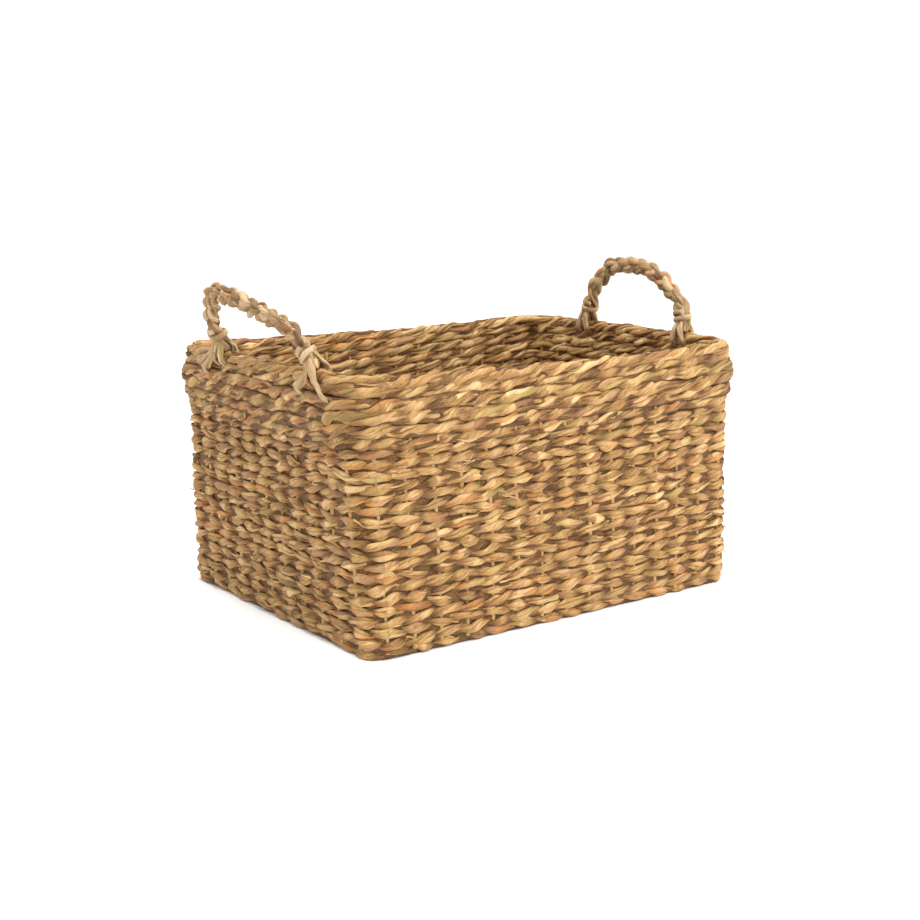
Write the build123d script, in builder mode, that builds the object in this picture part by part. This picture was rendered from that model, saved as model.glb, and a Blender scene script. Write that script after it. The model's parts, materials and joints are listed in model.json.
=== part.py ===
"""A woven seagrass storage basket with two braided rope handles, in millimetres, +Z up.

The origin is on the floor under the middle of the basket. X runs along the long sides.
Twined courses are stacked round upright stakes. At the top a band of thick courses is turned
over outwards as a cuff, a rope lies along the fold, and each handle hangs on that rope.
"""

import os
from math import cos, radians, sin

from build123d import *

# The wall's centre line, at the rim and at the floor
RIM_HALF_LENGTH = 197.0
RIM_HALF_WIDTH = 138.0
FLOOR_HALF_LENGTH = 190.0
FLOOR_HALF_WIDTH = 145.5
CORNER_RADIUS = 14.0

# Wall courses
WALL_COURSES = 19
WALL_THICKNESS = 8.4
WALL_PITCH = 8.6
WALL_TOP = WALL_COURSES * WALL_PITCH
COURSE_GAP = 0.3
FOOT_INSET = 1.5

# Turned-over rim: inner layer, cuff outside it and the rope on top
RIM_COURSES = 5
INNER_PITCH = 9.3
RIM_TOP = WALL_TOP + RIM_COURSES * INNER_PITCH
CUFF_PITCH = 9.5
CUFF_THICKNESS = 6.8
CUFF_OFFSET = 7.6
ROPE_RADIUS = 4.2
ROPE_ROUNDING = 4.1
ROPE_HALF_LENGTH = 200.0
ROPE_HALF_WIDTH = 141.0
ROPE_CORNER_RADIUS = 24.0
ROPE_HEIGHT = RIM_TOP + ROPE_RADIUS + 0.1
ROUNDING_SHARE = 0.25

# Stakes
LONG_SIDE_STAKES = 15
SHORT_SIDE_STAKES = 11
STAKE_RADIUS = 1.3
STAKE_HOLE_RADIUS = 1.6
STAKE_END_GAP = 0.4

# Floor
FLOOR_STRIPS = 9
FLOOR_THICKNESS = 6.5
FLOOR_GAP = 0.4

# Handles: braid, loops round the rim rope, bindings at the feet
BRAID_RADIUS = 8.0
BRAID_BEND = 18.0
LOOP_RADIUS = 3.0
LOOP_CENTRE_RADIUS = ROPE_RADIUS + 0.4 + LOOP_RADIUS
POCKET_RADIUS = LOOP_CENTRE_RADIUS + LOOP_RADIUS + 0.6
POCKET_WIDTH = 2 * (LOOP_RADIUS + 0.6)
BRAID_START = 10.2
BINDING_START = 15.5
BINDING_LENGTH = 6.0
BINDING_CLEARANCE = 0.2
BINDING_WALL = 1.8

# A handle's bends, as (place along the rim, height over the rim rope's axis)
LEFT_BENDS = [(60, 32), (44, 56), (14, 57), (-72, 35)]
LEFT_FEET = (58, -90)
LEFT_LEAN = -18.0
RIGHT_BENDS = [(47, 36), (26, 61), (-28, 61), (-72, 31)]
RIGHT_FEET = (57, -74)
RIGHT_LEAN = 0.0

# Strand tails that lie on the cuff under each foot
TAIL_WIDTH = 16.0
TAIL_THICKNESS = 3.0
TAIL_BOTTOM = 186.0
TAIL_TOP = 206.0
TAIL_GAP = 0.2


def save(piece, label):
    """Labels a finished piece and writes its file."""
    piece.part.label = label
    export_step(piece.part, f"parts/{label}.step")


def wall_half_sizes(height):
    """Half length and half width of the wall's centre line at a height."""
    share = min(height / WALL_TOP, 1)
    half_length = FLOOR_HALF_LENGTH + share * (RIM_HALF_LENGTH - FLOOR_HALF_LENGTH)
    half_width = FLOOR_HALF_WIDTH + share * (RIM_HALF_WIDTH - FLOOR_HALF_WIDTH)
    return half_length, half_width


def spread(count, half_span):
    """Evenly spaced places from -half_span to half_span."""
    step = 2 * half_span / (count - 1)
    return [index * step - half_span for index in range(count)]


def side_stakes(half_length, half_width, corner):
    """Stake places on the straight stretches of a rounded rectangle, side by side."""
    straight_x = half_length - corner
    straight_y = half_width - corner
    along_x = spread(LONG_SIDE_STAKES, straight_x)
    along_y = spread(SHORT_SIDE_STAKES, straight_y)
    return {
        "front": [(x, -half_width) for x in along_x],
        "back": [(x, half_width) for x in along_x],
        "left": [(-half_length, y) for y in along_y],
        "right": [(half_length, y) for y in along_y],
    }


def all_stakes(half_length, half_width, corner):
    """The same places in one list."""
    sides = side_stakes(half_length, half_width, corner)
    return [place for side in sides.values() for place in side]


def course(label, bottom, height, centre_line, thickness, holes=(), rounding=None, pockets=False):
    """One ring of the wall or rim with rounded edges, and a hole for each stake."""
    half_length, half_width, corner = centre_line
    with BuildPart() as ring:
        with BuildSketch(Plane.XY.offset(bottom)):
            RectangleRounded(
                2 * half_length + thickness, 2 * half_width + thickness, corner + thickness / 2
            )
            RectangleRounded(
                2 * half_length - thickness,
                2 * half_width - thickness,
                corner - thickness / 2,
                mode=Mode.SUBTRACT,
            )
        extrude(amount=height)
        levels = ring.edges().group_by(Axis.Z)
        fillet(levels[0] + levels[-1], rounding or ROUNDING_SHARE * thickness)
        if holes:
            with BuildSketch(Plane.XY.offset(bottom)):
                with Locations(*holes):
                    Circle(STAKE_HOLE_RADIUS)
            extrude(amount=height, mode=Mode.SUBTRACT)
        if pockets:
            cut_loop_pockets()
    save(ring, label)


def cut_loop_pockets():
    """Clears the space round the rim rope where the handles' loops pass through the rim."""
    for side, feet in ((-1, LEFT_FEET), (1, RIGHT_FEET)):
        for foot in feet:
            place = Location((side * ROPE_HALF_LENGTH, foot, ROPE_HEIGHT), (90, 0, 0))
            with Locations(place):
                Cylinder(POCKET_RADIUS, POCKET_WIDTH, mode=Mode.SUBTRACT)


def make_floor():
    """The floor: strips of twined mat side by side, cut to the rounded inside of the wall."""
    half_length = FLOOR_HALF_LENGTH - FOOT_INSET - WALL_THICKNESS / 2 - FLOOR_GAP
    half_width = FLOOR_HALF_WIDTH - FOOT_INSET - WALL_THICKNESS / 2 - FLOOR_GAP
    corner = CORNER_RADIUS - WALL_THICKNESS / 2
    pitch = 2 * half_width / FLOOR_STRIPS
    for index in range(FLOOR_STRIPS):
        middle = (index + 0.5) * pitch - half_width
        with BuildPart() as strip:
            with BuildSketch():
                RectangleRounded(2 * half_length, 2 * half_width, corner)
                with Locations((0, middle)):
                    Rectangle(2 * half_length, pitch - FLOOR_GAP, mode=Mode.INTERSECT)
            extrude(amount=FLOOR_THICKNESS)
        save(strip, f"floor_strip_{index + 1}")


def make_wall():
    """The wall's courses from the floor up to the rim."""
    for index in range(WALL_COURSES):
        bottom = index * WALL_PITCH
        half_length, half_width = wall_half_sizes(bottom + WALL_PITCH / 2)
        holes = all_stakes(half_length, half_width, CORNER_RADIUS)
        if index == 0:
            half_length -= FOOT_INSET
            half_width -= FOOT_INSET
            holes = []
        centre_line = (half_length, half_width, CORNER_RADIUS)
        height = WALL_PITCH - COURSE_GAP
        label = f"wall_course_{index + 1:02d}"
        course(label, bottom, height, centre_line, WALL_THICKNESS, holes)


def make_rim():
    """The inner layer, the cuff turned over outside it and the rope along the fold."""
    inner_line = (RIM_HALF_LENGTH, RIM_HALF_WIDTH, CORNER_RADIUS)
    cuff_line = tuple(size + CUFF_OFFSET for size in inner_line)
    inner_holes = all_stakes(*inner_line)
    cuff_holes = all_stakes(*cuff_line)
    for index in range(RIM_COURSES):
        top_one = index == RIM_COURSES - 1
        bottom = WALL_TOP + index * INNER_PITCH
        height = INNER_PITCH - COURSE_GAP
        label = f"inner_course_{index + 1}"
        course(label, bottom, height, inner_line, WALL_THICKNESS, inner_holes, pockets=top_one)
        bottom = RIM_TOP - (RIM_COURSES - index) * CUFF_PITCH
        height = CUFF_PITCH - COURSE_GAP
        label = f"cuff_course_{index + 1}"
        course(label, bottom, height, cuff_line, CUFF_THICKNESS, cuff_holes, pockets=top_one)

    rope_line = (ROPE_HALF_LENGTH, ROPE_HALF_WIDTH, ROPE_CORNER_RADIUS)
    size = 2 * ROPE_RADIUS
    course("rim_rope", ROPE_HEIGHT - ROPE_RADIUS, size, rope_line, size, rounding=ROPE_ROUNDING)


def make_stakes():
    """The stakes in the wall and their ends turned down into the cuff, side by side."""
    foot_height = WALL_PITCH
    foot_sides = side_stakes(*wall_half_sizes(foot_height), CORNER_RADIUS)
    rim_sides = side_stakes(RIM_HALF_LENGTH, RIM_HALF_WIDTH, CORNER_RADIUS)
    cuff_sides = side_stakes(
        RIM_HALF_LENGTH + CUFF_OFFSET, RIM_HALF_WIDTH + CUFF_OFFSET, CORNER_RADIUS + CUFF_OFFSET
    )
    top_height = RIM_TOP - INNER_PITCH - STAKE_END_GAP
    cuff_bottom = RIM_TOP - RIM_COURSES * CUFF_PITCH
    for side in foot_sides:
        with BuildPart() as stakes:
            for foot, rim in zip(foot_sides[side], rim_sides[side]):
                low = Vector(*foot, foot_height)
                bend = Vector(*rim, WALL_TOP)
                top = Vector(*rim, top_height)
                with BuildLine() as stake_line:
                    Polyline(low, bend, top)
                with BuildSketch(Plane(low, z_dir=bend - low)):
                    Circle(STAKE_RADIUS)
                sweep(path=stake_line.line, transition=Transition.RIGHT)
        save(stakes, f"stakes_{side}")
        with BuildPart() as turned:
            with BuildSketch(Plane.XY.offset(cuff_bottom)):
                with Locations(*cuff_sides[side]):
                    Circle(STAKE_RADIUS)
            extrude(amount=(RIM_COURSES - 1) * CUFF_PITCH)
        save(turned, f"stake_ends_{side}")


def make_handle(name, side, bends, feet, lean):
    """One handle: a braided arch with a loop round the rim rope at each foot, and bindings."""
    hinge = Vector(side * ROPE_HALF_LENGTH, 0, ROPE_HEIGHT)
    across = (cos(radians(lean)), 0, -sin(radians(lean)))
    frame = Plane(hinge, x_dir=(0, 1, 0), z_dir=across)
    points = [(feet[0], BRAID_START), *bends, (feet[1], BRAID_START)]
    with BuildPart() as handle:
        with BuildLine(frame) as arch:
            FilletPolyline(*points, radius=BRAID_BEND)
        with BuildSketch(Plane(arch.line @ 0, z_dir=arch.line % 0)):
            Circle(BRAID_RADIUS)
        sweep(path=arch.line)
        for foot in feet:
            with Locations(Location((hinge.X, foot, hinge.Z), (90, 0, 0))):
                Torus(LOOP_CENTRE_RADIUS, LOOP_RADIUS)
    save(handle, f"handle_{name}")

    for end, foot, bend in (("back", feet[0], bends[0]), ("front", feet[1], bends[-1])):
        start = frame.from_local_coords(Vector(foot, BRAID_START))
        leg = frame.from_local_coords(Vector(*bend)) - start
        seat = start + leg.normalized() * (BINDING_START - BRAID_START)
        with BuildPart() as binding:
            with BuildSketch(Plane(seat, z_dir=leg)):
                Circle(BRAID_RADIUS + BINDING_CLEARANCE + BINDING_WALL)
                Circle(BRAID_RADIUS + BINDING_CLEARANCE, mode=Mode.SUBTRACT)
            extrude(amount=BINDING_LENGTH)
        save(binding, f"handle_{name}_binding_{end}")

    face = RIM_HALF_LENGTH + CUFF_OFFSET + CUFF_THICKNESS / 2 + TAIL_GAP + TAIL_THICKNESS / 2
    middle_height = (TAIL_BOTTOM + TAIL_TOP) / 2
    for end, foot in (("back", feet[0]), ("front", feet[1])):
        with BuildPart() as tail:
            with Locations((side * face, foot, middle_height)):
                Box(TAIL_THICKNESS, TAIL_WIDTH, TAIL_TOP - TAIL_BOTTOM)
            fillet(tail.edges().filter_by(Axis.X), TAIL_WIDTH / 4)
        save(tail, f"handle_{name}_tail_{end}")


os.makedirs("parts", exist_ok=True)
make_floor()
make_wall()
make_rim()
make_stakes()
make_handle("left", -1, LEFT_BENDS, LEFT_FEET, LEFT_LEAN)
make_handle("right", 1, RIGHT_BENDS, RIGHT_FEET, RIGHT_LEAN)
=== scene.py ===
"""Looks of the woven seagrass basket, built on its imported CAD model.

Every course is two strands twisted round the stakes, every handle is a braid of three strands,
and each visible piece takes its place from the CAD node that it stands for. Sizes are in
millimetres until a mesh is made.
"""

import json
from math import cos, pi, radians, sin, tan

import bpy
import numpy as np
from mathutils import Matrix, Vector


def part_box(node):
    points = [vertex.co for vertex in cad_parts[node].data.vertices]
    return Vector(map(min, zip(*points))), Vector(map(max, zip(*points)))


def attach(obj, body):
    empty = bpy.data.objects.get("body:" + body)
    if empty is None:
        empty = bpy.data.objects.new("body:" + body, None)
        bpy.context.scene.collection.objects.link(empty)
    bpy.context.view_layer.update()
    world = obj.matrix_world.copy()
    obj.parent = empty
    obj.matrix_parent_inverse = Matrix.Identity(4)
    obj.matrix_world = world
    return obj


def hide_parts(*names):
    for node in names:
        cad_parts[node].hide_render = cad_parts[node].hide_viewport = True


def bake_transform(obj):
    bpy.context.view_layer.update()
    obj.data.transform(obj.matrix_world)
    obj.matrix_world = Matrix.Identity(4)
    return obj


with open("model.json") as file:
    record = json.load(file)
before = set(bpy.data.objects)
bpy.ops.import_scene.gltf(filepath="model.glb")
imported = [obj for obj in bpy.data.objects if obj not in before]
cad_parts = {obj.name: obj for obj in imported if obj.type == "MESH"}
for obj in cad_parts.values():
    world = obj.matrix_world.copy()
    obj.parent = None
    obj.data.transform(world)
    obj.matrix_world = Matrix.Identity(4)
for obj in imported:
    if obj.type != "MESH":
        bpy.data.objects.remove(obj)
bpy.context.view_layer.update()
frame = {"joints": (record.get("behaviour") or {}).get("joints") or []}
MM = 0.001
RANDOM = np.random.default_rng(11)

# Weave plan, the same as the CAD model's
LONG_SIDE_STAKES = 15
SHORT_SIDE_STAKES = 11
CORNER_SPANS = 1
RING_STAKES = 2 * (LONG_SIDE_STAKES - 1 + SHORT_SIDE_STAKES - 1 + 2 * CORNER_SPANS)
WALL_THICKNESS = 8.4
CUFF_THICKNESS = 6.8
WALL_COURSES = 19
RIM_COURSES = 5
FLOOR_STRIPS = 9

# Where the strands run inside their CAD rings: corner radii, and how far they are tucked in
WALL_CORNER = 14.0
CUFF_CORNER = 24.0
CUFF_TUCKS = (4.4, 2.0, 0.8, 1.6, 4.0)
ROPE_CORNER = 29.0
ROPE_SINK = 1.6
ROPE_TUCK = 1.0
STAKE_END_TUCK = 3.4
FIRST_COURSE_HEIGHT = 5.2

# Strands, stakes and floor rows
SAMPLES_PER_STAKE = 14
LEAF_SIZES = ((0.68, 0.28), (0.46, 0.56), (0.42, 0.60))  # (share of the strand, reach from it)
STITCH_FLATNESS = 0.6
CROSSING_WANDER = 0.3
STRAND_LAY = 130.0
# The dark sheet along each course's middle is painted shade: its dark colour stands in for the shade
# in the gaps between stitches, and it also stops light through them.
SHADE_SHEET_THICKNESS = 0.8
SHADE_SHEET_OVERLAP = 1.6
SHADE_SHEET_TONE = (0.12, 0.5, 0.5)
STAKE_RADIUS = 1.9
STAKE_END_RADIUS = 1.6
FLOOR_ROWS = 4
FLOOR_STAKE_RADIUS = 1.4
FLOOR_END_GAP = 2.0
STRAY_LEAF_ENDS = 220

# The basket's hand-made unevenness
SETTLED_SIZE = (200.0, 140.0, 218.0)
LONG_SIDE_SAG = 4.5
LONG_SIDE_BELLY = 3.0
SHORT_SIDE_BELLY = 1.5
SIDE_WAVINESS = 1.2
FOOT_FLARE = 2.0

# Handles, as in the CAD model: (place along the rim, height over the rim rope's axis)
HANDLES = {
    "left": {"bends": [(60, 32), (44, 56), (14, 57), (-72, 35)], "feet": (58, -90), "lean": -18.0},
    "right": {"bends": [(47, 36), (26, 61), (-28, 61), (-72, 31)], "feet": (57, -74), "lean": 0.0},
}
LOOPS = ((-7.0, 3.2), (6.0, 3.3))  # (place along the rim from the foot, half width)
BRAID_START = 10.2
BRAID_BEND = 18.0
BRAID_PERIOD = 46.0
BRAID_SWING = 3.3
BRAID_CROSSING = 2.4
BRAID_STRAND = 5.6
BRAID_FLATNESS = 0.74
BINDING_TURNS = 1.6
BINDING_RADIUS = 7.9
BINDING_FOOT = 3.6
BINDING_RISE = 9.0
TAIL_SIZE = (3.9, 2.0)

# How far each loose strand end drifts along the rim from its foot
FANS = {
    ("left", "front"): (-24, 15),
    ("left", "back"): (22, 34),
    ("right", "front"): (-12, 12),
    ("right", "back"): (-10, 10),
}

# Studio, in metres, degrees and watts
FLOOR_SIZE = 60
FLOOR_GREY = 0.93
WORLD_STRENGTH = 1.08
LAMPS = [
    ("key", (1.1, -1.9, 1.4), 1.6, 46),
    ("top", (-0.3, -0.25, 2.35), 1.2, 60),
]
LAMP_TARGET = (0, 0, 0.1)
CAMERA_TARGET = (0, 0, 0.11)
CAMERA_AZIMUTH = -36.43
CAMERA_ELEVATION = 11.5
CAMERA_DISTANCE = 1.309
CAMERA_LENS = 57.2


# ---------------------------------------------------------------- small helpers


def box_mm(node):
    """A CAD node's lowest and highest corner in millimetres."""
    low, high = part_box(node)
    return np.array(low) / MM, np.array(high) / MM


def unit(vectors):
    """Rows scaled to length one."""
    return vectors / np.maximum(np.linalg.norm(vectors, axis=-1, keepdims=True), 1e-9)


def wave(places, period, count, size, lowest=1, highest=9):
    """A smooth random ripple that closes after one period."""
    total = np.zeros_like(places, dtype=float)
    for _ in range(count):
        turns = RANDOM.integers(lowest, highest + 1)
        phase = RANDOM.uniform(0, 2 * pi)
        total += np.sin(2 * pi * turns * places / period + phase)
    return size * total / np.sqrt(count / 2)


def smooth_random(count, spacing, size):
    """Random values along an open line, eased between knots that are spacing samples apart."""
    knots = RANDOM.normal(0, size, count // spacing + 3)
    where = np.arange(count) / spacing
    index = where.astype(int)
    share = where - index
    share = share * share * (3 - 2 * share)
    return knots[index] * (1 - share) + knots[index + 1] * share


def ring(places, half_length, half_width, corner):
    """Points and outward directions on a rounded rectangle, for places counted in stakes."""
    straight_x = half_length - corner
    straight_y = half_width - corner
    long_spans = LONG_SIDE_STAKES - 1
    short_spans = SHORT_SIDE_STAKES - 1
    sides = [
        (long_spans, -pi / 2, (-straight_x, -straight_y), (straight_x, -straight_y)),
        (short_spans, 0.0, (straight_x, -straight_y), (straight_x, straight_y)),
        (long_spans, pi / 2, (straight_x, straight_y), (-straight_x, straight_y)),
        (short_spans, pi, (-straight_x, straight_y), (-straight_x, -straight_y)),
    ]
    places = np.mod(places, RING_STAKES)
    centre = np.zeros((len(places), 2))
    angle = np.zeros(len(places))
    start = 0
    for spans, heading, first, last in sides:
        share = np.clip((places - start) / spans, 0, 1)[:, None]
        here = (places >= start) & (places <= start + spans)
        line = np.array(first) * (1 - share) + np.array(last) * share
        centre[here] = line[here]
        angle[here] = heading
        start += spans
        turning = (places > start) & (places < start + CORNER_SPANS)
        turn = (places - start) / CORNER_SPANS * pi / 2
        centre[turning] = last
        angle[turning] = heading + turn[turning]
        start += CORNER_SPANS
    outward = np.stack([np.cos(angle), np.sin(angle)], 1)
    return centre + corner * outward, outward


def settle(points):
    """The basket's hand-made unevenness: the sides sag, belly and waver, and the foot flares."""
    half_length, half_width, height = SETTLED_SIZE
    along = np.clip(points[:, 0] / half_length, -1, 1)
    across = np.clip(points[:, 1] / half_width, -1, 1)
    level = np.clip(points[:, 2] / height, 0, 1.2)
    moved = points.copy()
    long_side = (1 - along**2) * np.abs(across) ** 3
    short_side = (1 - across**2) * np.abs(along) ** 3
    bulge = np.sin(pi * np.clip(level, 0, 1))
    flare = np.abs(across) ** 3 * (1 - np.clip(level, 0, 1)) ** 2
    moved[:, 2] -= LONG_SIDE_SAG * (1 - along**2) * level**2
    moved[:, 1] += np.sign(across) * LONG_SIDE_BELLY * long_side * bulge
    moved[:, 0] += np.sign(along) * SHORT_SIDE_BELLY * short_side * bulge
    moved[:, 0] += SIDE_WAVINESS * np.sin(points[:, 2] / 37 + along * 2) * level
    moved[:, 1] += SIDE_WAVINESS * np.sin(points[:, 2] / 45 + across * 3 + 1) * level
    moved[:, 1] += np.sign(across) * FOOT_FLARE * flare
    moved[:, 2] = np.maximum(moved[:, 2], 0.0)
    return moved


# ---------------------------------------------------------------- strands


class Strands:
    """Collects tubes of twisted leaf and turns them into one mesh."""

    def __init__(self):
        self.points = []
        self.faces = []
        self.coordinates = []
        self.tones = []
        self.count = 0

    def add(self, line, outward, wide, thick, tones, sides=10, closed=False, turn=38.0, lobes=1.0):
        """Adds one tube. wide is its half size across outward, thick its half size along it."""
        steps = len(line)
        if closed:
            tangent = np.roll(line, -1, 0) - np.roll(line, 1, 0)
        else:
            tangent = np.gradient(line, axis=0)
        tangent = unit(tangent)
        outward = unit(outward - tangent * np.sum(outward * tangent, 1, keepdims=True))
        upward = np.cross(outward, tangent)
        run = np.concatenate([[0], np.cumsum(np.linalg.norm(np.diff(line, axis=0), axis=1))])
        theta = np.arange(sides) * 2 * pi / sides
        angle = theta[None, :] + 0 * run[:, None]
        spin = 2 * pi * run[:, None] / turn
        if closed:
            length = run[-1] + np.linalg.norm(line[0] - line[-1])
            spin = 2 * pi * round(length / turn) * run[:, None] / length
        phase = RANDOM.uniform(0, 2 * pi, 3)
        swell = 1 + lobes * 0.09 * np.cos(3 * angle - spin + phase[0])
        swell += lobes * 0.05 * np.cos(5 * angle - 2 * spin + phase[1])
        wide = np.broadcast_to(wide, steps)[:, None]
        thick = np.broadcast_to(thick, steps)[:, None]
        tube = (
            line[:, None, :]
            + outward[:, None, :] * (thick * np.cos(angle) * swell)[:, :, None]
            + upward[:, None, :] * (wide * np.sin(angle) * swell)[:, :, None]
        )
        self.points.append(tube.reshape(-1, 3))
        place = RANDOM.uniform(0, 500)
        size = float(np.mean(wide))
        own = np.stack(
            [
                np.repeat(run[:, None], sides, 1) + place,
                size * np.cos(angle - spin) + place,
                size * np.sin(angle - spin) - place,
            ],
            2,
        )
        self.coordinates.append(own.reshape(-1, 3))
        self.tones.append(np.repeat(tones[:, None, :], sides, 1).reshape(-1, 3))
        rows = np.arange(steps if closed else steps - 1)
        columns = np.arange(sides)
        this_row, column = np.meshgrid(rows, columns, indexing="ij")
        next_row = (this_row + 1) % steps
        next_column = (column + 1) % sides
        quads = np.stack(
            [
                this_row * sides + column,
                next_row * sides + column,
                next_row * sides + next_column,
                this_row * sides + next_column,
            ],
            2,
        ).reshape(-1, 4)
        self.faces.extend((quads + self.count).tolist())
        if not closed:
            self.faces.append((self.count + np.arange(sides)).tolist())
            self.faces.append((self.count + (steps - 1) * sides + np.arange(sides)[::-1]).tolist())
        self.count += steps * sides

    def piece(self, name, material, body=None, stands_for=(), shape=settle):
        """Makes the mesh object, gives it its material, hangs it on its body and hides the CAD parts
        that it stands for.
        """
        points = np.concatenate(self.points)
        if shape:
            points = shape(points)
        mesh = bpy.data.meshes.new(name)
        mesh.from_pydata((points * MM).tolist(), [], self.faces)
        for title, values in (("strand", self.coordinates), ("tone", self.tones)):
            attribute = mesh.attributes.new(title, "FLOAT_VECTOR", "POINT")
            attribute.data.foreach_set("vector", np.concatenate(values).astype(np.float32).ravel())
        mesh.shade_smooth()
        mesh.materials.append(material)
        item = bpy.data.objects.new(name, mesh)
        bpy.context.scene.collection.objects.link(item)
        if body:
            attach(item, body)
        if stands_for:
            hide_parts(*stands_for)
        return item


def stitch_tones(stitches, count, base, spread):
    """Lightness, hue and age of each stitch, for places counted in stitches along a strand."""
    shade = np.clip(RANDOM.normal(base, spread, count), 0, 1)
    drift = RANDOM.normal(0.5, 0.45, count)
    drift = sum(np.roll(drift, shift) for shift in range(5)) / 5
    hue = np.clip(0.55 * drift + 0.45 * RANDOM.uniform(0, 1, count), 0, 1)
    age = RANDOM.uniform(0, 1, count)
    index = np.floor(stitches).astype(int) % count
    return np.stack([shade[index], hue[index], age[index]], 1)


def add_bundle(strands, line, outward, wide, thick, tones, closed=False, lay=STRAND_LAY):
    """Adds one strand as three leaves that twist round each other. tones has one entry a leaf."""
    steps = len(line)
    tangent = np.roll(line, -1, 0) - np.roll(line, 1, 0) if closed else np.gradient(line, axis=0)
    upward = np.cross(unit(outward), unit(tangent))
    run = np.concatenate([[0], np.cumsum(np.linalg.norm(np.diff(line, axis=0), axis=1))])
    length = run[-1] + (np.linalg.norm(line[0] - line[-1]) if closed else 0)
    turns = round(length / lay) if closed else length / lay
    first = RANDOM.uniform(0, 2 * pi)
    wide = np.broadcast_to(wide, steps)
    thick = np.broadcast_to(thick, steps)

    def ripple(size, per_turn):
        if closed:
            most = max(int(length / per_turn), 3)
            return wave(run, length, 6, size, most // 3, most)
        return smooth_random(steps, max(int(steps * per_turn / length / 2), 3), size)

    for leaf, (share, reach) in enumerate(LEAF_SIZES):
        angle = first + 2 * pi * (leaf / 3 + turns * run / length) + ripple(0.35, 30)
        size = share * RANDOM.uniform(0.9, 1.08) * (1 + ripple(0.1, 16))
        reach = reach * (1 + ripple(0.14, 14))
        path = line + outward * (thick * reach * np.cos(angle))[:, None]
        path += upward * (wide * reach * np.sin(angle))[:, None]
        strands.add(
            path,
            outward,
            wide * size,
            thick * size,
            tones[leaf],
            sides=8,
            closed=closed,
            lobes=0.8,
        )


def twine(strands, height, half_length, half_width, corner, look):
    """Adds one course: strands that pass in front of and behind the stakes, round a dark sheet. The
    sheet's dark colour and the darkening where the strands cross are painted shade.
    """
    count = RING_STAKES * SAMPLES_PER_STAKE
    places = np.arange(count) * RING_STAKES / count
    twists = look.get("twists", RING_STAKES)
    plies = look.get("plies", 2)
    centre, outward = ring(places, half_length, half_width, corner)
    direction = np.concatenate([outward, np.zeros((count, 1))], 1)
    row_drift = wave(places, RING_STAKES, 5, look["drift"], 3, 22)
    row_shift = RANDOM.normal(0, 0.3)
    for ply in range(plies):
        phase = pi * twists * places / RING_STAKES + 2 * pi * ply / plies + row_shift
        phase += wave(places, RING_STAKES, 6, CROSSING_WANDER, 5, 34)
        out = np.cos(phase)
        out = np.sign(out) * np.abs(out) ** STITCH_FLATNESS
        offset = look["out"] * out + wave(places, RING_STAKES, 8, 0.3, 8, 45)
        line = np.zeros((count, 3))
        line[:, :2] = centre + outward * offset[:, None]
        line[:, 2] = height + look["rise"] * np.sin(phase) * look.get("way", 1) + row_drift
        line[:, 2] += wave(places, RING_STAKES, 8, 0.36, 8, 50)
        crossing = np.sin(phase) ** 2
        swell = 1 + wave(places, RING_STAKES, 10, 0.1, 12, 60)
        tones = []
        for leaf in range(3):
            stitches = (phase / pi + 0.5 * leaf / 3) % twists
            tone = stitch_tones(stitches, twists, look["shade"], look["spread"])
            # Painted shade: each stitch is darkened where the strands cross and dip behind a stake.
            tone[:, 0] -= look["painted_crossing_shade"] * crossing**2
            tones.append(tone)
        add_bundle(
            strands,
            line,
            direction,
            look["wide"] * (1 - look["pinch"] * crossing) * swell,
            look["thick"] * swell,
            tones,
            closed=True,
            lay=look.get("lay", STRAND_LAY),
        )
    # Painted shade: a dark sheet along the course's middle, so the gaps between stitches show dark
    # colour in place of their shade.
    shade_sheet = np.zeros((count, 3))
    shade_sheet[:, :2] = centre
    shade_sheet[:, 2] = height + row_drift
    shadow = np.tile(SHADE_SHEET_TONE, (count, 1))
    tall = look["wide"] + SHADE_SHEET_OVERLAP
    strands.add(shade_sheet, direction, tall, SHADE_SHEET_THICKNESS, shadow, sides=8, closed=True, lobes=0.0)


# ---------------------------------------------------------------- materials


def link_chain(tree, *pairs):
    """Links pairs of sockets."""
    for source, target in pairs:
        tree.links.new(source, target)


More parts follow.
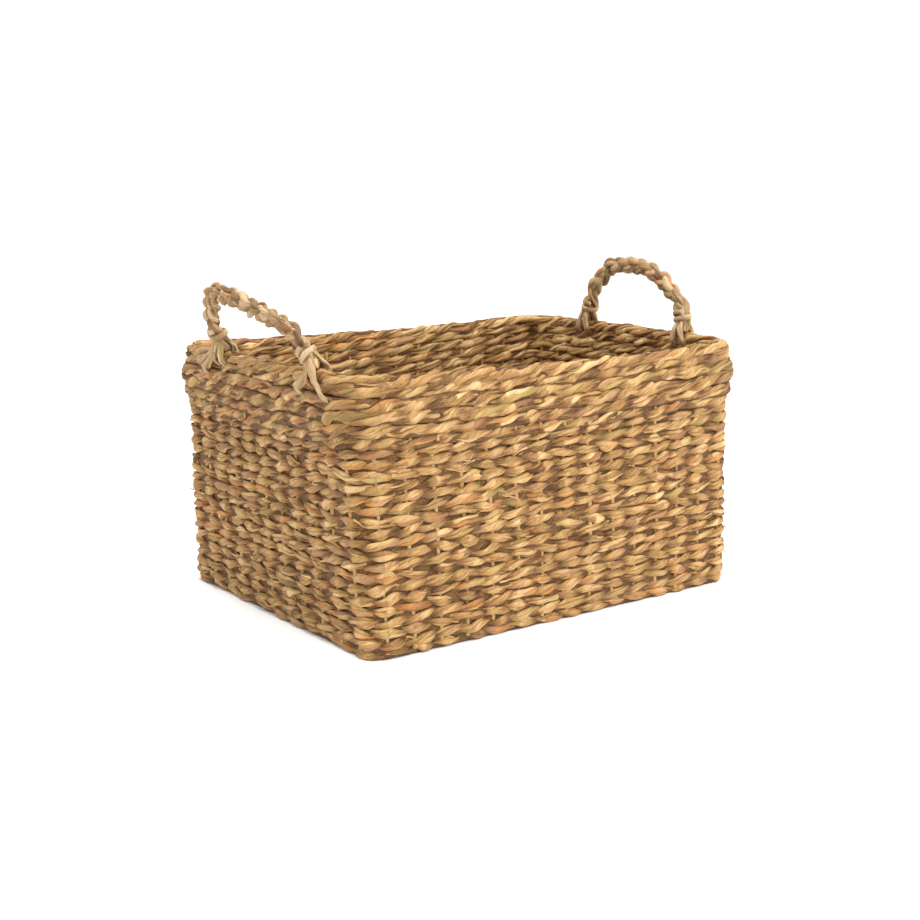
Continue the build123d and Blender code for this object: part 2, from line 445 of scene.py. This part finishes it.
def seagrass(name, dark, middle, pale, rust, green, plum):
    """Dry twisted seagrass: streaked fibres, stitch-to-stitch colour, dull sheen and ribbed bump."""
    material = bpy.data.materials.new(name)
    material.use_nodes = True
    tree = material.node_tree
    nodes = tree.nodes
    shader = nodes["Principled BSDF"]
    shader.inputs["Specular IOR Level"].default_value = 0.16
    shader.inputs["Sheen Weight"].default_value = 0.04
    shader.inputs["Sheen Roughness"].default_value = 0.6

    own = nodes.new("ShaderNodeAttribute")
    own.attribute_name = "strand"
    tone = nodes.new("ShaderNodeAttribute")
    tone.attribute_name = "tone"
    parts = nodes.new("ShaderNodeSeparateXYZ")
    tree.links.new(tone.outputs["Vector"], parts.inputs[0])

    def stretched(scale, detail, roughness, label):
        mapping = nodes.new("ShaderNodeMapping")
        mapping.inputs["Scale"].default_value = scale
        noise = nodes.new("ShaderNodeTexNoise")
        noise.inputs["Scale"].default_value = 1.0
        noise.inputs["Detail"].default_value = detail
        noise.inputs["Roughness"].default_value = roughness
        noise.label = label
        link_chain(
            tree,
            (own.outputs["Vector"], mapping.inputs["Vector"]),
            (mapping.outputs["Vector"], noise.inputs["Vector"]),
        )
        return noise.outputs["Fac"]

    streaks = stretched((0.08, 0.95, 0.95), 5, 0.65, "leaf streaks")
    fibres = stretched((0.45, 3.2, 3.2), 4, 0.7, "fibres")
    blotches = stretched((0.05, 0.25, 0.25), 3, 0.5, "age blotches")

    def math(operation, first, second, third=None):
        node = nodes.new("ShaderNodeMath")
        node.operation = operation
        for index, value in enumerate((first, second, third)):
            if value is None:
                continue
            if isinstance(value, (int, float)):
                node.inputs[index].default_value = value
            else:
                tree.links.new(value, node.inputs[index])
        return node.outputs[0]

    def mixed(factor, first, second):
        node = nodes.new("ShaderNodeMix")
        node.data_type = "RGBA"
        tree.links.new(factor, node.inputs[0])
        for index, value in ((6, first), (7, second)):
            if isinstance(value, tuple):
                node.inputs[index].default_value = (*value, 1)
            else:
                tree.links.new(value, node.inputs[index])
        return node.outputs[2]

    def window(value, low, high, top):
        node = nodes.new("ShaderNodeMapRange")
        node.interpolation_type = "SMOOTHSTEP"
        node.inputs["From Min"].default_value = low
        node.inputs["From Max"].default_value = high
        node.inputs["To Max"].default_value = top
        tree.links.new(value, node.inputs["Value"])
        return node.outputs["Result"]

    lightness = math("MULTIPLY_ADD", streaks, 1.2, -0.6)
    lightness = math("ADD", lightness, parts.outputs["X"])
    lightness = math("MULTIPLY_ADD", fibres, 0.9, lightness)
    lightness = math("SUBTRACT", lightness, 0.45)
    ramp = nodes.new("ShaderNodeValToRGB")
    ramp.color_ramp.elements[0].position = 0.05
    ramp.color_ramp.elements[0].color = (*dark, 1)
    ramp.color_ramp.elements[1].position = 0.98
    ramp.color_ramp.elements[1].color = (*pale, 1)
    ramp.color_ramp.elements.new(0.48).color = (*middle, 1)
    tree.links.new(lightness, ramp.inputs[0])
    colour = mixed(window(parts.outputs["Y"], 0.62, 0.95, 0.55), ramp.outputs["Color"], rust)
    colour = mixed(window(math("SUBTRACT", 1.0, parts.outputs["Y"]), 0.62, 0.95, 0.5), colour, green)
    colour = mixed(window(parts.outputs["Z"], 0.72, 1.0, 0.55), colour, plum)
    colour = mixed(window(blotches, 0.56, 0.8, 0.45), colour, dark)
    tree.links.new(colour, shader.inputs["Base Color"])

    roughness = math("MULTIPLY_ADD", streaks, 0.3, 0.45)
    tree.links.new(roughness, shader.inputs["Roughness"])
    heights = math("MULTIPLY_ADD", fibres, 0.45, streaks)
    bump = nodes.new("ShaderNodeBump")
    bump.inputs["Strength"].default_value = 0.75
    bump.inputs["Distance"].default_value = 0.0012
    link_chain(
        tree,
        (heights, bump.inputs["Height"]),
        (bump.outputs["Normal"], shader.inputs["Normal"]),
    )
    return material


def make_materials():
    """One material for each kind of strand."""
    shades = {
        "weave": ((0.085, 0.034, 0.010), (0.365, 0.198, 0.063), (0.70, 0.475, 0.225)),
        "rim": ((0.090, 0.036, 0.010), (0.365, 0.200, 0.065), (0.70, 0.48, 0.23)),
        "braid": ((0.105, 0.048, 0.018), (0.35, 0.222, 0.100), (0.64, 0.485, 0.29)),
        "stake": ((0.110, 0.048, 0.014), (0.38, 0.215, 0.072), (0.62, 0.42, 0.19)),
        # The inside colours are the weave's darkened by about a quarter: painted shade for the floor
        # inside the basket.
        "inside": ((0.065, 0.026, 0.009), (0.28, 0.150, 0.048), (0.54, 0.35, 0.16)),
    }
    rust, green, plum = (0.50, 0.180, 0.040), (0.35, 0.270, 0.075), (0.26, 0.125, 0.065)
    return {
        name: seagrass(f"seagrass_{name}", *colours, rust, green, plum)
        for name, colours in shades.items()
    }


# ---------------------------------------------------------------- basket


def make_wall(materials):
    """The wall's courses, floor to rim, each in its CAD course's place."""
    for index in range(WALL_COURSES):
        node = f"wall_course_{index + 1:02d}"
        low, high = box_mm(node)
        strands = Strands()
        look = {
            "out": 2.2,
            "rise": 1.2,
            "wide": 4.4,
            "thick": 2.3,
            "pinch": 0.3,
            "drift": 0.4,
            "shade": 0.53,
            "spread": 0.13,
            "painted_crossing_shade": 0.3,
            "way": -1 if RANDOM.uniform() < 0.4 else 1,
        }
        half_length = high[0] - WALL_THICKNESS / 2
        half_width = high[1] - WALL_THICKNESS / 2
        height = max((low[2] + high[2]) / 2, FIRST_COURSE_HEIGHT)
        twine(strands, height, half_length, half_width, WALL_CORNER, look)
        strands.piece(f"weave_{index + 1:02d}", materials["weave"], "basket", [node])


def make_rim(materials):
    """The inner layer, the cuff and the rope on the fold."""
    for index in range(RIM_COURSES):
        node = f"inner_course_{index + 1}"
        low, high = box_mm(node)
        strands = Strands()
        look = {
            "out": 1.8,
            "rise": 2.3,
            "wide": 4.7,
            "thick": 2.7,
            "pinch": 0.3,
            "drift": 0.5,
            # Lighter than the wall's shade: painted light that makes up for the shade the inner
            # courses get inside the basket.
            "shade": 0.62,
            "spread": 0.15,
            "painted_crossing_shade": 0.3,
            "twists": 44,
        }
        half_length = high[0] - WALL_THICKNESS / 2
        half_width = high[1] - WALL_THICKNESS / 2
        height = (low[2] + high[2]) / 2
        twine(strands, height, half_length, half_width, WALL_CORNER, look)
        strands.piece(f"inner_weave_{index + 1}", materials["weave"], "basket", [node])

        node = f"cuff_course_{index + 1}"
        low, high = box_mm(node)
        strands = Strands()
        tuck = CUFF_TUCKS[index]
        look = {
            "out": 1.3,
            "rise": 1.9 + 0.25 * index,
            "wide": 4.7,
            "thick": 2.5,
            "pinch": 0.3,
            "drift": 0.8,
            "shade": 0.5,
            "spread": 0.15,
            "painted_crossing_shade": 0.32,
            "twists": 48 - 2 * index,
        }
        half_length = high[0] - CUFF_THICKNESS / 2 - tuck
        half_width = high[1] - CUFF_THICKNESS / 2 - tuck
        height = (low[2] + high[2]) / 2
        twine(strands, height, half_length, half_width, CUFF_CORNER, look)
        strands.piece(f"cuff_weave_{index + 1}", materials["rim"], "basket", [node])

    low, high = box_mm("rim_rope")
    radius = (high[2] - low[2]) / 2
    look = {
        "out": 2.6,
        "rise": 2.7,
        "wide": 3.7,
        "thick": 3.3,
        "pinch": 0.1,
        "drift": 0.5,
        "shade": 0.53,
        "spread": 0.17,
        "twists": 36,
        "plies": 3,
        "painted_crossing_shade": 0.1,
        "lay": 80.0,
    }
    strands = Strands()
    height = (low[2] + high[2]) / 2 - ROPE_SINK
    half_length, half_width = high[0] - radius - ROPE_TUCK, high[1] - radius - ROPE_TUCK
    twine(strands, height, half_length, half_width, ROPE_CORNER, look)
    strands.piece("rim_twist", materials["rim"], "basket", ["rim_rope"])


def add_rod(strands, points, radius, steps=60):
    """A gently uneven rod through a few points."""
    points = np.array(points, float)
    run = np.concatenate([[0], np.cumsum(np.linalg.norm(np.diff(points, axis=0), axis=1))])
    where = np.linspace(0, run[-1], steps)
    line = np.stack([np.interp(where, run, points[:, axis]) for axis in range(3)], 1)
    outward = np.tile([[1.0, 0.3, 0.0]], (steps, 1))
    thick = radius * (1 + smooth_random(steps, 7, 0.06))
    shade = np.clip(0.6 + smooth_random(steps, 12, 0.12) + RANDOM.normal(0, 0.1), 0, 1)
    hue = np.full(steps, RANDOM.uniform(0.1, 0.9))
    age = np.full(steps, RANDOM.uniform(0, 0.85))
    tones = np.stack([shade, hue, age], 1)
    strands.add(line, outward, thick, thick, tones, sides=8, lobes=0.8)


def make_stakes(materials):
    """The upright stakes inside the wall, and their turned-down ends inside the cuff."""
    foot_low, foot_high = box_mm("wall_course_02")
    rim_low, rim_high = box_mm("inner_course_1")
    cuff_high = box_mm("cuff_course_1")[1]
    stake_top = box_mm("stakes_front")[1][2]
    ends_low, ends_high = box_mm("stake_ends_front")
    half = WALL_THICKNESS / 2
    places = np.arange(RING_STAKES, dtype=float)
    feet, _ = ring(places, foot_high[0] - half, foot_high[1] - half, WALL_CORNER)
    rims, _ = ring(places, rim_high[0] - half, rim_high[1] - half, WALL_CORNER)
    cuff_half = CUFF_THICKNESS / 2
    end_half = cuff_half + STAKE_END_TUCK
    ends, _ = ring(places, cuff_high[0] - end_half, cuff_high[1] - end_half, CUFF_CORNER)
    groups = {}
    start = 0
    for side, count in (
        ("front", LONG_SIDE_STAKES),
        ("right", SHORT_SIDE_STAKES),
        ("back", LONG_SIDE_STAKES),
        ("left", SHORT_SIDE_STAKES),
    ):
        groups[side] = range(start, start + count)
        start += count - 1 + CORNER_SPANS
    for side, members in groups.items():
        strands = Strands()
        for member in members:
            lean = RANDOM.normal(0, 0.5, 2)
            points = [
                (*feet[member], foot_low[2] - 4),
                (*(feet[member] * 0.5 + rims[member] * 0.5 + lean), rim_low[2] / 2),
                (*rims[member], rim_low[2]),
                (*rims[member], stake_top),
            ]
            add_rod(strands, points, STAKE_RADIUS)
        name = f"uprights_{side}"
        strands.piece(name, materials["stake"], "basket", [f"stakes_{side}"])
        strands = Strands()
        for member in members:
            points = [(*ends[member], ends_low[2] + 3), (*ends[member], ends_high[2])]
            add_rod(strands, points, STAKE_END_RADIUS, steps=16)
        name = f"turned_ends_{side}"
        strands.piece(name, materials["stake"], "basket", [f"stake_ends_{side}"])


def make_floor(materials):
    """The floor mat: each CAD strip becomes four twined rows along the basket."""
    corner = WALL_CORNER - WALL_THICKNESS / 2
    half_width = box_mm(f"floor_strip_{FLOOR_STRIPS}")[1][1]
    stakes = LONG_SIDE_STAKES + 1
    steps = stakes * 10
    for index in range(FLOOR_STRIPS):
        node = f"floor_strip_{index + 1}"
        low, high = box_mm(node)
        strands = Strands()
        pitch = (high[1] - low[1]) / FLOOR_ROWS
        for row in range(FLOOR_ROWS):
            middle = low[1] + (row + 0.5) * pitch
            edge = np.clip(abs(middle) + pitch / 2 - (half_width - corner), 0, corner)
            inset = corner - np.sqrt(corner**2 - edge**2)
            reach = high[0] - inset - FLOOR_END_GAP
            along = np.linspace(-reach, reach, steps)
            places = (along - low[0]) / (high[0] - low[0]) * stakes
            for start in (0.0, pi):
                phase = pi * places + start
                line = np.stack(
                    [
                        along,
                        middle + 1.5 * np.sin(phase) + smooth_random(steps, 9, 0.2),
                        (low[2] + high[2]) / 2 + 1.15 * np.cos(phase),
                    ],
                    1,
                )
                outward = np.tile([[0.0, 0.0, 1.0]], (steps, 1))
                tones = stitch_tones(places + start / pi, stakes + 2, 0.45, 0.15)
                strands.add(line, outward, 2.4, 1.95, tones, sides=8)
        for stake in range(stakes):
            x = low[0] + (stake + 0.5) * (high[0] - low[0]) / stakes
            middle = (low[2] + high[2]) / 2
            ends = [(x, low[1], middle), (x, high[1], middle)]
            if abs(x) < high[0] - 10:
                add_rod(strands, ends, FLOOR_STAKE_RADIUS, steps=12)
        # The floor mat takes the darker inside colours, painted shade.
        strands.piece(f"floor_mat_{index + 1}", materials["inside"], "basket", [node])


# ---------------------------------------------------------------- handles


def rounded_path(points, radius, step=1.2):
    """A path through bends that are rounded by arcs, evenly sampled."""
    points = [np.array(p, float) for p in points]
    dense = [points[0]]
    for before, here, after in zip(points, points[1:], points[2:]):
        back = (before - here) / np.linalg.norm(before - here)
        ahead = (after - here) / np.linalg.norm(after - here)
        turn = pi - np.arccos(np.clip(back @ ahead, -1, 1))
        reach = radius * tan(turn / 2)
        centre = here + (back + ahead) / np.linalg.norm(back + ahead) * radius / cos(turn / 2)
        first = here + back * reach - centre
        last = here + ahead * reach - centre
        for share in np.linspace(0, 1, 12):
            arm = first * (1 - share) + last * share
            dense.append(centre + arm / np.linalg.norm(arm) * radius)
    dense.append(points[-1])
    dense = np.array(dense)
    run = np.concatenate([[0], np.cumsum(np.linalg.norm(np.diff(dense, axis=0), axis=1))])
    where = np.linspace(0, run[-1], int(run[-1] / step))
    return np.stack([np.interp(where, run, dense[:, axis]) for axis in range(dense.shape[1])], 1)


def handle_frame(side, lean):
    """The hinge point, and a handle's along, up and across directions."""
    joint = next(j for j in frame["joints"] if j["name"] == f"{side}_handle_hinge")
    hinge = np.array(joint["pos_m"]) / MM
    along = np.array([0.0, 1.0, 0.0])
    up = np.array([sin(radians(lean)), 0.0, cos(radians(lean))])
    return hinge, along, up, np.cross(along, up)


def make_handle(side, materials):
    """A braid of three strands, the loops that hold it to the rim, its bindings and tails."""
    plan = HANDLES[side]
    hinge, along, up, across = handle_frame(side, plan["lean"])
    sign = -1 if side == "left" else 1
    body = f"handle_{side}"
    first, last = plan["feet"]
    flat = rounded_path([(first, 5.0), *plan["bends"], (last, 5.0)], BRAID_BEND)
    line = hinge + flat[:, :1] * along + flat[:, 1:] * up
    tangent = unit(np.gradient(line, axis=0))
    inward = unit(np.cross(tangent, across))
    steps = len(line)
    run = np.arange(steps) * np.linalg.norm(line[1] - line[0])
    period = run[-1] / round(run[-1] / BRAID_PERIOD)
    line = line + inward * smooth_random(steps, 16, 0.8)[:, None]
    strands = Strands()
    ease = np.clip(np.minimum(run, run[-1] - run) / 9, 0, 1)
    facing = np.tile(across, (steps, 1))
    stitches = round(run[-1] / period * 2) + 2
    for index in range(3):
        phase = 2 * pi * run / period + index * 2 * pi / 3 + smooth_random(steps, 18, 0.12)
        path = line + inward * (BRAID_SWING * np.sin(phase) * (0.55 + 0.45 * ease))[:, None]
        path += across * (BRAID_CROSSING * np.sin(2 * phase))[:, None]
        size = BRAID_STRAND * (1 + smooth_random(steps, 12, 0.05))
        tones = [
            stitch_tones(phase / pi + 0.3 * leaf, stitches + 2, 0.47, 0.18) for leaf in range(3)
        ]
        add_bundle(strands, path, facing, size, size * BRAID_FLATNESS, tones, lay=75.0)
    for foot in plan["feet"]:
        add_loops(strands, hinge + foot * along, up, sign)
    strands.piece(f"braid_{side}", materials["braid"], body, [f"handle_{side}"], None)

    for end, foot, bend in (
        ("back", plan["feet"][0], plan["bends"][0]),
        ("front", plan["feet"][1], plan["bends"][-1]),
    ):
        leg = np.array(bend, float) - (foot, BRAID_START)
        leg = leg / np.linalg.norm(leg)
        seat = hinge + foot * along + BRAID_START * up
        direction = leg[0] * along + leg[1] * up
        make_binding(side, end, seat, direction, across, materials)
        make_tail(side, end, hinge, foot, sign, up, materials)


def add_loops(strands, base, up, sign):
    """The two strands at a handle's foot that part, pass round the rim rope and meet again."""
    for spread_way, size in LOOPS:
        ring_points = [
            base + up * 24,
            base + np.array([-sign * 7.4, 0.55 * spread_way, 7.5]),
            base + np.array([-sign * 8.6, spread_way, -4.0]),
            base + np.array([sign * 0.5, spread_way, -10.0]),
            base + np.array([sign * 8.0, spread_way, -3.5]),
            base + np.array([sign * 6.2, 0.55 * spread_way, 8.0]),
            base + up * 22,
        ]
        line = rounded_path(ring_points, 4.0, 0.8)
        outward = line - base
        outward[:, 1] *= 0.3
        tones = [stitch_tones(np.linspace(0, 1.9, len(line)), 2, 0.62, 0.12) for _ in LEAF_SIZES]
        add_bundle(strands, line, unit(outward), size, size * 0.6, tones, lay=70.0)


def make_binding(side, end, seat, direction, across, materials):
    """About one and a half turns of a thinner strand round the foot of the braid."""
    steps = int(BINDING_TURNS * 26)
    share = np.linspace(0, 1, steps)
    angle = 2 * pi * BINDING_TURNS * share
    other = np.cross(direction, across)
    radius = BINDING_RADIUS + smooth_random(steps, 9, 0.25)
    rise = direction * (BINDING_FOOT + BINDING_RISE * share)[:, None]
    line = (
        seat
        + rise
        + across * (radius * 0.82 * np.cos(angle))[:, None]
        + other * (radius * np.sin(angle))[:, None]
    )
    outward = unit(line - seat - rise)
    strands = Strands()
    tones = stitch_tones(share * 6, 7, 0.6, 0.14)
    strands.add(line, outward, 2.5, 1.5, tones, sides=9, turn=24)
    node = f"handle_{side}_binding_{end}"
    name = f"binding_{side}_{end}"
    strands.piece(name, materials["braid"], f"handle_{side}", [node], None)


def make_tail(side, end, hinge, foot, sign, up, materials):
    """Loose strand ends that run from the braid over the rim and dive into the cuff."""
    node = f"handle_{side}_tail_{end}"
    low, high = box_mm(node)
    face = abs(low[0] + high[0]) / 2
    strands = Strands()
    base = hinge + np.array([0.0, foot, 0.0])
    for number, sideways in enumerate(FANS[side, end]):
        bottom = low[2] + 8 + 3 * (number % 2) + 0.2 * abs(sideways)
        points = [
            base + up * 19,
            base + up * 9 + np.array([sign * 5.0, 0.1 * sideways, 0.0]),
            np.array([sign * (face - 1.5), foot + 0.4 * sideways, hinge[2] - 3.0]),
            np.array([sign * (face + 0.3), foot + 0.85 * sideways, bottom + 4.0]),
            np.array([sign * (face - 4.5), foot + sideways, bottom - 2.0]),
        ]
        line = rounded_path(points, 3.0, 0.8)
        steps = len(line)
        share = np.linspace(0, 1, steps)
        line[:, 1] += smooth_random(steps, 12, 0.4)
        outward = line - base
        outward[:, 1] = 0
        outward[:, 0] = sign * np.abs(outward[:, 0]) + sign * 2
        taper = np.clip((1 - share) / 0.06, 0.5, 1)
        tones = [stitch_tones(share * 2, 3, 0.66, 0.12) for _ in LEAF_SIZES]
        wide, thick = TAIL_SIZE
        add_bundle(strands, line, unit(outward), wide * taper, thick * taper, tones, lay=60.0)
    name = f"strand_ends_{side}_{end}"
    item = strands.piece(name, materials["braid"], None, [node], None)
    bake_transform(item)


def make_fibres(materials):
    """Short stray leaf ends that stand off the outside of the weave."""
    strands = Strands()
    for _ in range(STRAY_LEAF_ENDS):
        place = RANDOM.uniform(0, RING_STAKES)
        course = RANDOM.integers(2, WALL_COURSES + 1)
        low, high = box_mm(f"wall_course_{course:02d}")
        centre, outward = ring(np.array([place]), high[0] - 1.0, high[1] - 1.0, WALL_CORNER)
        normal = np.array([*outward[0], 0.0])
        side = np.array([-outward[0][1], outward[0][0], 0.0]) * RANDOM.choice([-1, 1])
        length = RANDOM.uniform(5, 15)
        share = np.linspace(0, 1, 9)
        curl = RANDOM.uniform(0.8, 2.6)
        lift = RANDOM.normal(0, 0.25)
        start = np.array([*centre[0], RANDOM.uniform(low[2], high[2])])
        line = (
            start
            + side * (length * share)[:, None]
            + normal * (curl * np.sin(share * 2.2))[:, None]
            + np.array([0, 0, 1.0]) * (lift * length * share**2)[:, None]
        )
        tones = np.tile([[RANDOM.uniform(0.5, 0.95), RANDOM.uniform(0, 1), 0.3]], (9, 1))
        taper = RANDOM.uniform(0.25, 0.55) * (1 - 0.7 * share)
        strands.add(line, np.tile(normal, (9, 1)), taper * 1.6, taper * 0.7, tones, sides=5)
    strands.piece("stray_leaf_ends", materials["rim"], "basket")


# ---------------------------------------------------------------- studio


def make_studio():
    """Pale floor, soft lights and the camera."""
    bpy.ops.mesh.primitive_plane_add(size=FLOOR_SIZE, location=(0, 0, 0))
    floor = bpy.context.object
    floor.name = "studio_floor"
    paint = bpy.data.materials.new("studio_floor")
    paint.use_nodes = True
    shader = paint.node_tree.nodes["Principled BSDF"]
    shader.inputs["Base Color"].default_value = (FLOOR_GREY, FLOOR_GREY, FLOOR_GREY, 1)
    shader.inputs["Roughness"].default_value = 0.9
    floor.data.materials.append(paint)

    world = bpy.data.worlds.new("studio")
    world.use_nodes = True
    background = world.node_tree.nodes["Background"]
    background.inputs["Color"].default_value = (1, 1, 1, 1)
    background.inputs["Strength"].default_value = WORLD_STRENGTH
    bpy.context.scene.world = world
    bpy.context.scene.view_settings.view_transform = "Standard"

    for name, place, size, power in LAMPS:
        data = bpy.data.lights.new(name, "AREA")
        data.size = size
        data.energy = power
        lamp = bpy.data.objects.new(name, data)
        lamp.location = place
        lamp.rotation_mode = "QUATERNION"
        aim = Vector(LAMP_TARGET) - Vector(place)
        lamp.rotation_quaternion = aim.to_track_quat("-Z", "Y")
        bpy.context.scene.collection.objects.link(lamp)

    azimuth, elevation = radians(CAMERA_AZIMUTH), radians(CAMERA_ELEVATION)
    back = Vector((sin(azimuth) * cos(elevation), -cos(azimuth) * cos(elevation), sin(elevation)))
    data = bpy.data.cameras.new("camera")
    data.sensor_width = 36
    data.lens = CAMERA_LENS
    camera = bpy.data.objects.new("camera", data)
    camera.location = Vector(CAMERA_TARGET) + back * CAMERA_DISTANCE
    camera.rotation_mode = "QUATERNION"
    camera.rotation_quaternion = (-back).to_track_quat("-Z", "Y")
    bpy.context.scene.collection.objects.link(camera)
    bpy.context.scene.camera = camera


materials = make_materials()
make_wall(materials)
make_rim(materials)
make_stakes(materials)
make_floor(materials)
make_handle("left", materials)
make_handle("right", materials)
make_fibres(materials)
make_studio()
